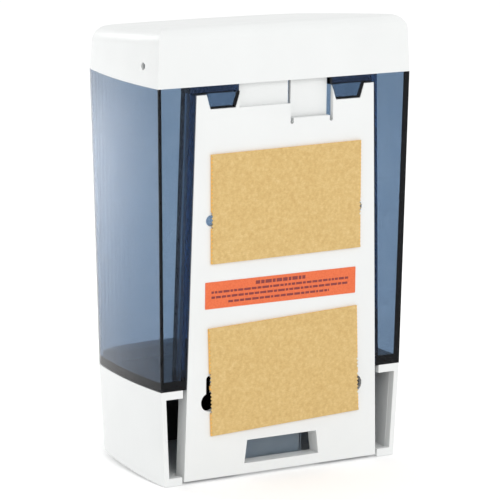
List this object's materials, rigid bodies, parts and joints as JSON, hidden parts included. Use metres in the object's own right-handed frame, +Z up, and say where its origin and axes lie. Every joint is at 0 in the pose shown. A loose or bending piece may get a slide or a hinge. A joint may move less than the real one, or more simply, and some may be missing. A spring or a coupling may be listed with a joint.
{
  "type": "wall mounted soap dispenser",
  "caption": "Wall mounted liquid soap dispenser: smoke tank, white lid and base, wall plate with adhesive pads and screw holes, push bar that works a plunger pump.",
  "frame": {"origin": "midway between the two upper screw holes, on the rear face of the wall plate (the plane of the wall)", "axes": "+X to the right seen from the front, -Y out of the wall towards the user, +Z up"},
  "size_m": [0.146, 0.1023, 0.2246],
  "materials": {
    "white_plastic": "moulded white plastic, soft gloss",
    "smoke_plastic": "smoke-tinted clear plastic, glossy",
    "adhesive_foam": "double-sided foam tape, matte",
    "kraft_paper": "brown release paper, matte, fibrous",
    "orange_label": "orange sticker with plain dark bars",
    "dark_plastic": "near black moulded plastic",
    "pump_white": "natural white plastic",
    "black_rubber": "black rubber",
    "steel": "bright stainless steel",
    "ball_steel": "polished stainless steel"
  },
  "bodies": {
    "wall_plate": {"wall_plate": "white_plastic", "adhesive_pad_upper": "adhesive_foam", "adhesive_pad_lower": "adhesive_foam", "release_liner_upper": "kraft_paper", "release_liner_lower": "kraft_paper", "instruction_label": "orange_label"},
    "tank": {"tank": "smoke_plastic", "base": "white_plastic", "base_screws": "steel", "splash_guard": "dark_plastic", "bar_pin": "steel", "pump_body": "dark_plastic", "pump_end_cap": "dark_plastic", "inlet_gasket": "black_rubber", "inlet_nut": "dark_plastic", "inlet_seat": "dark_plastic", "inlet_screen": "dark_plastic", "return_spring": "steel", "outlet_valve": "black_rubber", "outlet_ring": "dark_plastic"},
    "lid": {"lid": "white_plastic", "lid_seal": "black_rubber"},
    "push_bar": {"push_bar": "white_plastic"},
    "plunger": {"plunger": "pump_white", "piston_seal": "black_rubber"},
    "inlet_ball": {"inlet_ball": "ball_steel"}
  },
  "joints": [
    {"name": "tank_lift", "type": "slide", "parent": "wall_plate", "child": "tank", "axis": [0, 0, 1], "range_m": [0, 0.2]},
    {"name": "lid_lift", "type": "slide", "parent": "tank", "child": "lid", "axis": [0, 0, 1], "range_m": [0, 0.06]},
    {"name": "bar_press", "type": "hinge", "parent": "tank", "child": "push_bar", "pos_m": [0, -0.076, -0.0894], "axis": [1, 0, 0], "range_deg": [0, 14], "stiffness_Nm_per_rad": 0.24, "springref_deg": -9.97},
    {"name": "plunger_slide", "type": "slide", "parent": "tank", "child": "plunger", "axis": [0, 1, 0], "range_m": [0, 0.0058], "deforming": ["return_spring"]},
    {"name": "ball_lift", "type": "slide", "parent": "tank", "child": "inlet_ball", "axis": [0, 0, 1], "range_m": [0, 0.0014]}
  ],
  "couplings": [
    {"joint": "plunger_slide", "follows": "bar_press", "m_per_rad": 0.023}
  ]
}
